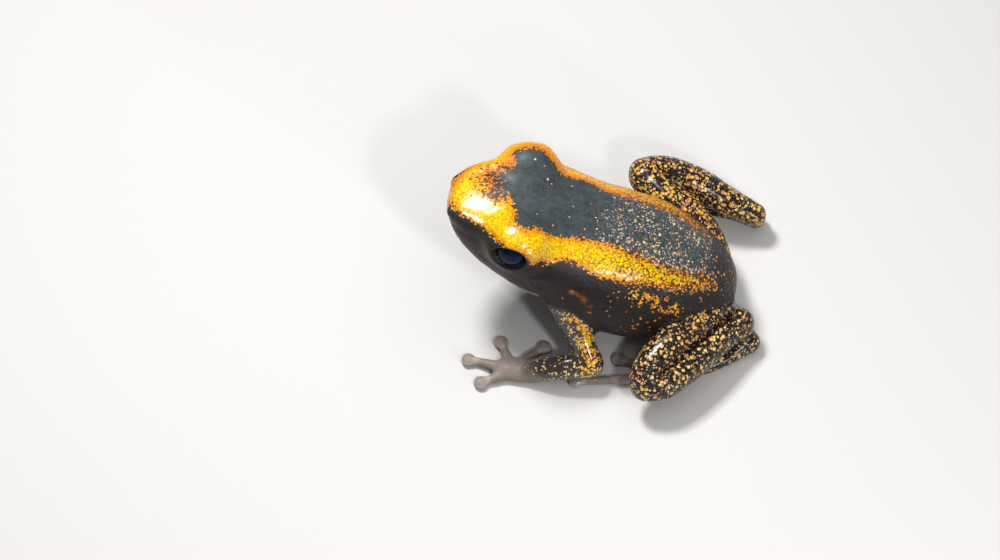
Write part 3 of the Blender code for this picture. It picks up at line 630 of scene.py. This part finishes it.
def quarter_round(x):
    """The way over the skin from the middle of the back to the widest level, at x."""
    stations = np.linspace(BODY_MIDDLE[0], BODY_MIDDLE[-1], 60)
    arcs = []
    for station in stations:
        arc = body_points(body_row(station), np.linspace(0, 90, 24))[0]
        arcs.append(np.linalg.norm(np.diff(arc, axis=0), axis=1).sum())
    return np.interp(x, stations, arcs)


def pelt(x, degrees):
    """A place on the flat pelt: x, and the way round the body from the middle of the back."""
    x, degrees = np.asarray(x, float), np.asarray(degrees, float)
    return np.stack([x, degrees / 90.0 * quarter_round(x)], axis=-1)


def line_gap(places, rows):
    """Distance from each place to a line through the rows."""
    nearest = np.full(len(places), np.inf)
    for start, end in zip(rows[:-1], rows[1:]):
        way = end - start
        along = np.clip(((places - start) @ way) / (way @ way), 0.0, 1.0)
        nearest = np.minimum(nearest, np.linalg.norm(places - start - along[:, None] * way, axis=1))
    return nearest


def inside(places, outline):
    """Which places of the pelt lie inside a closed outline."""
    found = np.zeros(len(places), bool)
    for (x0, y0), (x1, y1) in zip(outline, np.roll(outline, -1, axis=0)):
        crosses = (y0 > places[:, 1]) != (y1 > places[:, 1])
        found ^= crosses & (places[:, 0] < (x1 - x0) * (places[:, 1] - y0) / (y1 - y0 + 1e-12) + x0)
    return found


def rising(values, low, high):
    """0 below low, 1 above high and smooth between them."""
    share = np.clip((values - low) / (high - low), 0.0, 1.0)
    return share * share * (3.0 - 2.0 * share)


def mark(name, values):
    """Keeps one value for each place of the skin, for its material to read."""
    skin.data.attributes.new(name, "FLOAT", "POINT").data.foreach_set("value", values.astype(np.float32))


flat_places = np.empty(len(skin.data.vertices) * 3)
skin.data.vertices.foreach_get("co", flat_places)
places = (flat_places.reshape(-1, 3) - shift) / unit
left = places[:, 1:2] < 0
mirrored = places * [1, -1, 1]
as_left, as_right = np.where(left, places, mirrored), np.where(left, mirrored, places)
degrees = (90.0 - around_body(places)) * np.where(places[:, 1] < 0, -1.0, 1.0)
flat = pelt(places[:, 0], degrees)
outline = pelt(*np.array(GOLD_EDGE).T)
closed = np.concatenate([outline, outline[:1]])
band = line_gap(flat, closed) * np.where(inside(flat, outline), 1.0, -1.0)
fields = (near_body, near_arm, near_hand, near_leg, near_foot)
gaps = np.array([sampled(field, places) for field in fields])
arm, hand, leg, foot = [
    rising(np.delete(gaps, k, axis=0).min(axis=0) - gaps[k], *limits)
    for k, limits in enumerate(LIMB_FADES, 1)
]
arm, leg, bare = np.maximum(arm, hand), np.maximum(leg, foot), np.maximum(hand, foot)
off_limbs = 1 - np.maximum(arm, leg)
x, across, radius = SNOUT_FRINGE
snout_gap = np.hypot(flat[:, 0] - x, flat[:, 1] - across)
fringe = FRINGE[0] + (FRINGE[1] - FRINGE[0]) * (1 - rising(snout_gap, 0.5 * radius, 1.3 * radius))
fringe = fringe + RUMP_FRINGE * rising(places[:, 0], -6.0, -2.0)
gold = rising(band / fringe, -1.0, 1.0) * off_limbs
arm_line = line_gap(as_left, np.array(ARM_GOLD))
arm_patch = 1 - rising(arm_line, 0.35 * ARM_GOLD_RADIUS, 1.7 * ARM_GOLD_RADIUS)
patch = line_gap(flat * np.where(left, 1, [1, -1]), pelt(*np.array(FLANK_GOLD).T))
mark("gold", gold)
mark("band", band * off_limbs)
mark("arm", arm)
mark("leg", leg)
mark("paw", bare)
mark("arm_gold", arm_patch * rising(arm, 0.0, 0.6))
mark("flank_gold", (1 - rising(patch, 0.15, 0.95)) * off_limbs)
rump = rising(places[:, 0], -2.6, -0.8)
mark("back", (1 - rising(np.abs(degrees), 25.0, 60.0)) * off_limbs * (1 - 0.8 * rump))
mark("rear", rising(places[:, 0], -11.5, -4.5))
mark("right", rising(places[:, 1], -1.0, 2.0))
hip = np.linalg.norm(as_right - np.array(HIP_GOLD), axis=1)
mark("hip", 1 - rising(hip, 0.8, 2.4))
mark("snout", (1 - rising(snout_gap, 0.3 * radius, 1.2 * radius)) * off_limbs)
mark("low", 1 - rising(places[:, 2], 0.5, 4.0))
mark("smudge", 1 - rising(line_gap(as_left, np.array(SMUDGE)), 0.0, SMUDGE_REACH))
discs = np.full(len(places), 1.0)
for part in (LEFT_ARM, RIGHT_ARM, LEFT_LEG, RIGHT_LEG):
    for digit in part["digits"]:
        discs = np.minimum(discs, np.linalg.norm((places - np.array(digit[-1][:3]))[:, :2], axis=1))
mark("tip", (1 - rising(discs, 0.3, 2.2)) * bare)
# The pale ring round each disc is a painted sheen along its edge.
rim = rising(discs, 0.28, 0.46) * (1 - rising(discs, 0.55, 0.75))
mark("rim", rim * bare * (1 - rising(places[:, 2], 0.6, 0.9)))
# The pale dotted line along the lower lid is a painted highlight.
lids = line_gap(as_left, lid_ring(-1, *LID)[:, :3])
mark("lid", (1 - rising(lids, 0.12, 0.30)) * (1 - rising(places[:, 2], 9.6, 10.2)))
# The pale line along the upper lip is a painted highlight.
mouth_rows = np.array([skin_point(x, degrees + 6.5, -1) for x, degrees in MOUTH])
mark("lip", 1 - rising(line_gap(as_left, mouth_rows), 0.05, 0.24))

# Skin colour and gloss
# Live skin is wet and finely grained: slate grey on the back, brown-black on the flanks, thin and grey on the
# paws. Gold grains lie in it in small round cells, close together where the skin is golden all over.
# Some colours are painted light: the pale glints, the pale edges of lips, lids and toe discs, and the deeper
# orange of the frog's right side.
YELLOW = (0.90, 0.60, 0.001, 1.0)
ORANGE = (0.80, 0.215, 0.001, 1.0)
RUST = (0.26, 0.060, 0.002, 1.0)
DARK_RUST = (0.060, 0.018, 0.006, 1.0)
AMBER = (0.82, 0.42, 0.03, 1.0)
PALE_GOLD = (0.90, 0.62, 0.24, 1.0)
PAINTED_GLINT_PINK = (0.62, 0.52, 0.48, 1.0)
COPPER = (0.42, 0.17, 0.05, 1.0)
SLATE = (0.026, 0.034, 0.037, 1.0)
PALE_SLATE = (0.064, 0.080, 0.083, 1.0)
BROWN_BLACK = (0.014, 0.0095, 0.0095, 1.0)
GREY_BROWN = (0.050, 0.038, 0.033, 1.0)
PAW_GREY = (0.105, 0.076, 0.065, 1.0)
TIP_GREY = (0.25, 0.205, 0.175, 1.0)
EDGE_HIGHLIGHT_GREY = (0.36, 0.31, 0.26, 1.0)
SMUDGE_BROWN = (0.24, 0.070, 0.014, 1.0)
GRAIN = 0.135  # mm between the grains of the bands
GRANULE = 0.23  # mm between the low bumps of the skin
LIMB_GRAIN = 0.27  # mm between the large grains of the legs
FINE_GRAIN = 0.15  # mm between the small grains of flanks, arms and legs
BROAD, MOTTLE, FINE = (1.1, 3.0), (0.42, 3.0), (0.09, 2.0)  # mm between soft patches, and their detail
DRIFT = 0.12  # mm that the grains are shifted by, and between two shifts
RELIEF = 0.12  # mm of height in the bumps


class Tone:
    """A socket of a shader. Arithmetic on it adds Math nodes."""

    def __init__(self, shader, socket):
        self.shader = shader
        self.socket = socket

    def math(self, operation, first, second):
        return self.shader.node("ShaderNodeMath", {"operation": operation}, {0: first, 1: second})

    def __add__(self, other):
        return self.math("ADD", self, other)

    __radd__ = __add__

    def __sub__(self, other):
        return self.math("SUBTRACT", self, other)

    def __rsub__(self, other):
        return self.math("SUBTRACT", other, self)

    def __mul__(self, other):
        return self.math("MULTIPLY", self, other)

    __rmul__ = __mul__

    def __truediv__(self, other):
        return self.math("DIVIDE", self, other)

    def below(self, other):
        """1 where this is less than the other, else 0."""
        return self.math("LESS_THAN", self, other)

    def rise(self, low, high):
        """0 below low, 1 above high and smooth between them."""
        settings = {"interpolation_type": "SMOOTHSTEP"}
        sockets = {"Value": self, "From Min": low, "From Max": high}
        return self.shader.node("ShaderNodeMapRange", settings, sockets)


class Shader:
    """A material and the nodes that are added to it."""

    def __init__(self, name):
        self.material = bpy.data.materials.new(name)
        self.material.use_nodes = True
        self.nodes = self.material.node_tree.nodes
        self.links = self.material.node_tree.links
        self.surface = self.nodes["Principled BSDF"]

    def feed(self, socket, value):
        if isinstance(value, Tone):
            self.links.new(value.socket, socket)
        else:
            socket.default_value = value

    def node(self, kind, settings=None, sockets=None, output=0):
        """Adds a node: its settings first, then the values or links of its sockets."""
        made = self.nodes.new(kind)
        for name, value in (settings or {}).items():
            setattr(made, name, value)
        for key, value in (sockets or {}).items():
            self.feed(made.inputs[key], value)
        return Tone(self, made.outputs[output])

    def mix(self, share, first, second):
        """A colour between two others."""
        settings = {"data_type": "RGBA", "clamp_factor": True}
        return self.node("ShaderNodeMix", settings, {0: share, 6: first, 7: second}, 2)

    def attribute(self, name):
        return self.node("ShaderNodeAttribute", {"attribute_name": name}, {}, "Fac")

    def place(self):
        return self.node("ShaderNodeTexCoord", {}, {}, "Object")

    def noise(self, place, spacing, detail, output=0):
        """Soft patches, so many mm apart."""
        sockets = {"Vector": place, "Scale": 1.0 / (spacing * unit), "Detail": detail}
        return self.node("ShaderNodeTexNoise", {}, sockets, output)

    def vector(self, operation, sockets):
        return self.node("ShaderNodeVectorMath", {"operation": operation}, sockets, "Vector")

    def set(self, **values):
        for name, value in values.items():
            self.feed(self.surface.inputs[name.replace("_", " ")], value)


def grains(shader, place, spacing, share, size, spread=0.5):
    """Round grains in that share of the skin's cells: where they are, how light each is, and how domed."""
    sockets = {"Vector": place, "Scale": 1.0 / (spacing * unit), "Randomness": 0.95}
    cells = shader.node("ShaderNodeTexVoronoi", {"feature": "F1"}, sockets, "Color")
    distance = Tone(shader, cells.socket.node.outputs["Distance"])
    parts = shader.node("ShaderNodeSeparateColor", {}, {"Color": cells}, "Red")
    lightness, width = [Tone(shader, parts.socket.node.outputs[name]) for name in ("Green", "Blue")]
    reach = size * (1 - spread + width * spread)
    return parts.below(share) * (1 - (distance / reach).rise(0.75, 1.0)), lightness, 1 - distance


skin_look = Shader("wet_frog_skin")
place = skin_look.place()
gold_share, band_depth, on_arm, on_leg, on_paw, on_back, at_rear, at_right, down_low, at_snout, arm_gold = [
    skin_look.attribute(name)
    for name in ("gold", "band", "arm", "leg", "paw", "back", "rear", "right", "low", "snout", "arm_gold")
]
broad, mottle, fine = [skin_look.noise(place, *pattern) for pattern in (BROAD, MOTTLE, FINE)]
clumps = mottle.rise(0.42, 0.56)

drift = skin_look.noise(place, DRIFT, 2.0, "Color")
drift = skin_look.vector("SUBTRACT", {0: drift, 1: (0.5, 0.5, 0.5)})
drift = skin_look.vector("SCALE", {0: drift, "Scale": DRIFT * unit})
loose = skin_look.vector("ADD", {0: place, 1: drift})

paleness = fine.rise(0.35, 0.7) * 0.6 + mottle.rise(0.35, 0.65) * 0.35
paleness = paleness + broad.rise(0.4, 0.65) * 0.2 + at_rear * 0.35 - 0.1
slate = skin_look.mix(paleness * (0.3 + on_back * 0.6), SLATE, PALE_SLATE)
ground = skin_look.mix(on_back, BROWN_BLACK, slate)
ground = skin_look.mix(on_arm * 0.7 + fine.rise(0.5, 0.75) * 0.15, ground, GREY_BROWN)
ground = skin_look.mix(on_paw, ground, PAW_GREY)
ground = skin_look.mix(skin_look.attribute("tip"), ground, TIP_GREY)
# Painted sheen: the pale ring round each disc.
ground = skin_look.mix(skin_look.attribute("rim") * 0.8, ground, EDGE_HIGHLIGHT_GREY)
# Painted highlights: pale lines along the upper lip and the lower lid.
painted_edge_highlight = skin_look.attribute("lip") * 0.6 + skin_look.attribute("lid") * fine.rise(0.45, 0.6) * 0.7
ground = skin_look.mix(painted_edge_highlight, ground, EDGE_HIGHLIGHT_GREY)
ground = skin_look.mix(skin_look.attribute("smudge") * mottle.rise(0.3, 0.6), ground, SMUDGE_BROWN)

ground = skin_look.mix(gold_share.rise(0.3, 0.8) * 0.9, ground, DARK_RUST)
band_share = gold_share * (1.12 - at_rear * 0.14) - at_snout * fine.rise(0.35, 0.6) * 0.7 - 0.04
band_mask, band_light, dome = grains(skin_look, loose, GRAIN, band_share, 1.6 - at_rear * 0.65, 0.35)
warmth = band_depth.rise(0.0, 0.7) * 0.9 + mottle * 0.6 - 0.25 + band_light * 0.4 - at_snout * 0.35
# Painted shade: the gold of the frog's right side is made a deeper orange, though both bands are of one
# colour.
warmth = warmth - at_right * 0.5
band_tone = skin_look.mix(warmth, ORANGE, YELLOW)
band_tone = skin_look.mix((1 - dome.rise(0.30, 0.75)) * (0.55 + at_rear * 0.3), band_tone, RUST)
colour = skin_look.mix(band_mask, ground, band_tone)

bare_share = (1 - gold_share) * (1 - on_paw) * (1 - on_arm) * (1 - on_leg)
speck_share = (at_rear * at_rear * (0.10 + on_back * 0.14) * broad.rise(0.3, 0.6) + 0.010) * bare_share
flank_gold = skin_look.attribute("flank_gold") * clumps * (1 - on_leg)
speck_share = speck_share + flank_gold * 1.1
speck_size = 0.62 + at_rear * 0.12 + flank_gold * 0.10
speck_mask, speck_light, _ = grains(skin_look, loose, FINE_GRAIN, speck_share, speck_size)
speck_tone = skin_look.mix(speck_light * 1.2, COPPER, skin_look.mix(on_back, ORANGE, PALE_GOLD))
speck_tone = skin_look.mix(flank_gold, speck_tone, skin_look.mix(speck_light * 0.8, ORANGE, YELLOW))
colour = skin_look.mix(speck_mask, colour, speck_tone)

# Painted highlights: pale pink-white glints on the rear of the back, standing in for light caught by the wet
# granules.
glint_share = at_rear.rise(0.15, 0.6) * on_back.rise(0.3, 0.9) * (1 - gold_share) * (1.0 - at_right * 0.4)
glint_mask, glint_light, _ = grains(skin_look, place, GRANULE * 0.7, glint_share * broad.rise(0.2, 0.55), 0.5)
glint_tone = skin_look.mix(glint_light, COPPER, PAINTED_GLINT_PINK)
colour = skin_look.mix(glint_mask * (0.35 + glint_light * 0.65), colour, glint_tone)

leg_share = on_leg * (1 - on_paw)
leg_fine, fine_light, _ = grains(skin_look, loose, FINE_GRAIN, leg_share * 0.5, 0.5)
colour = skin_look.mix(leg_fine, colour, skin_look.mix(fine_light, COPPER, PALE_GOLD))
coarse_share = leg_share * (0.82 + at_right * 0.12 - down_low * 0.22)
leg_mask, leg_light, _ = grains(skin_look, loose, LIMB_GRAIN, coarse_share, 0.55 + at_right * 0.05, 0.5)
warm_share = skin_look.attribute("hip") + at_right * 0.4 + mottle.rise(0.35, 0.6) * 0.5 + 0.15
hip_tone = skin_look.mix(warm_share, PALE_GOLD, AMBER)
leg_tone = skin_look.mix(leg_light.rise(0.0, 0.5), COPPER, hip_tone)
colour = skin_look.mix(leg_mask, colour, leg_tone)
# Painted highlights: pale glints scattered over the legs.
limb_glint, limb_light, _ = grains(skin_look, place, FINE_GRAIN, leg_share * 0.22, 0.42)
colour = skin_look.mix(limb_glint * 0.8, colour, skin_look.mix(limb_light, PALE_GOLD, PAINTED_GLINT_PINK))

arm_share = on_arm * (1 - on_paw) * 0.28 + arm_gold * clumps * 0.9
arm_mask, arm_light, _ = grains(skin_look, loose, FINE_GRAIN, arm_share, 0.62 + arm_gold * 0.3)
arm_tone = skin_look.mix(arm_gold, PALE_GOLD, skin_look.mix(arm_light, ORANGE, YELLOW))
colour = skin_look.mix(arm_mask, colour, arm_tone)

granules = skin_look.node(
    "ShaderNodeTexVoronoi", {"feature": "F1"}, {"Vector": loose, "Scale": 1.0 / (GRANULE * unit)}, "Distance"
)
roughening = 0.05 + at_rear * (0.4 + on_back * 1.4) + on_leg * 1.4 + on_arm * 0.6
height = (1 - granules * granules) * roughening * (1 - on_paw * 0.8) + dome * gold_share * 0.08 + fine * 0.06
bumps = {"Strength": 1.0, "Distance": RELIEF * unit, "Height": height}
relief = skin_look.node("ShaderNodeBump", {}, bumps, "Normal")
gloss = gold_share * (0.9 - at_right * 0.8) + on_leg * 1.2 + (on_arm + at_rear * on_back) * (1 - on_paw)
wetness = gold_share * (1 - at_rear) * (0.6 - at_right * 0.5)
wetness = wetness + on_leg * 0.4 + on_arm * (1 - on_paw) * 0.9 + 0.03
skin_look.set(
    Base_Color=colour,
    Roughness=0.48 - gloss * 0.26,
    Normal=relief,
    Specular_IOR_Level=0.22,
    Coat_Weight=wetness,
    Coat_Roughness=0.20,
)
skin.data.materials.clear()
skin.data.materials.append(skin_look.material)

# Eyes
# Each eye is a wet, nearly black ball behind the lids. It turns with the frog's gaze and is a separate piece.
eye_look = Shader("wet_eye")
# The faint navy in the eye's colour is a painted reflection of the sky on an eye that is black.
eye_look.set(Base_Color=(0.004, 0.010, 0.030, 1.0), Roughness=0.12, Specular_IOR_Level=0.12)

for name, side in (("left_eyeball", -1), ("right_eyeball", 1)):
    bpy.ops.mesh.primitive_uv_sphere_add(segments=48, ring_count=24, radius=1.0)
    eyeball = bpy.context.object
    eyeball.name = eyeball.data.name = name
    centre = EYE_CENTRE * [1, side, 1] * unit + shift
    turn = Vector(GAZE * [1, side, 1]).to_track_quat("Z", "Y").to_matrix().to_4x4()
    eyeball.data.transform(Matrix.Translation(centre) @ turn @ Matrix.Scale(EYE_RADIUS * unit, 4))
    eyeball.data.shade_smooth()
    eyeball.data.materials.append(eye_look.material)
    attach(eyeball, "root")
    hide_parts(name.replace("ball", ""))

# Floor, light and camera
# A pale table top under broad, soft lamps, seen from the frog's left, well above it and a little behind.
TOWARDS_CAMERA = np.array([0.0738, -0.5248, 0.8480])
ACROSS = np.array([0.9903, 0.1392, 0.0])
UPWARDS = np.array([-0.1180, 0.8398, 0.5300])
AIM = ACROSS * -15.0 + UPWARDS * 2.24
CAMERA_DISTANCE = 404.1
LENS = 227.5
FLOOR_SIZE = 1.2  # m
LAMP_AIM = (-8.0, 0.0, 4.0)
STUDIO_TONE = (0.80, 0.82, 0.85, 1.0)
STUDIO_STRENGTH = 0.13

bpy.ops.mesh.primitive_plane_add(size=FLOOR_SIZE)
floor = bpy.context.object
floor.name = "floor"
floor_look = Shader("pale_table")
floor_look.set(Base_Color=(0.56, 0.55, 0.53, 1.0), Roughness=0.6)
floor.data.materials.append(floor_look.material)

camera = bpy.data.objects.new("camera", bpy.data.cameras.new("camera"))
bpy.context.scene.collection.objects.link(camera)
bpy.context.scene.camera = camera
camera.data.lens = LENS
camera.data.clip_start = 0.01
facing = Matrix((ACROSS, UPWARDS, TOWARDS_CAMERA)).transposed().to_4x4()
camera.matrix_world = Matrix.Translation((AIM + TOWARDS_CAMERA * CAMERA_DISTANCE) * unit + shift) @ facing


def lamp(name, place, size, power):
    """A square soft lamp that looks at the frog."""
    light = bpy.data.objects.new(name, bpy.data.lights.new(name, "AREA"))
    bpy.context.scene.collection.objects.link(light)
    light.data.size = size * unit
    light.data.energy = power
    place = Vector(place)
    turn = (place - Vector(LAMP_AIM)).to_track_quat("Z", "Y").to_matrix().to_4x4()
    light.matrix_world = Matrix.Translation(Vector(np.array(place) * unit + shift)) @ turn
    return light


lamp("key_lamp", (-60.0, 40.0, 141.0), 30.0, 0.25)
lamp("side_lamp", (25.0, -58.0, 76.0), 8.0, 0.030)
lamp("low_lamp", (63.0, -66.0, 34.0), 8.0, 0.024)
lamp("soft_lamp", (0.0, 0.0, 110.0), 120.0, 0.055).visible_glossy = False
bpy.context.scene.view_settings.view_transform = "Standard"
world = bpy.data.worlds.new("studio")
bpy.context.scene.world = world
world.use_nodes = True
backdrop = world.node_tree.nodes["Background"]
backdrop.inputs["Color"].default_value = STUDIO_TONE
backdrop.inputs["Strength"].default_value = STUDIO_STRENGTH
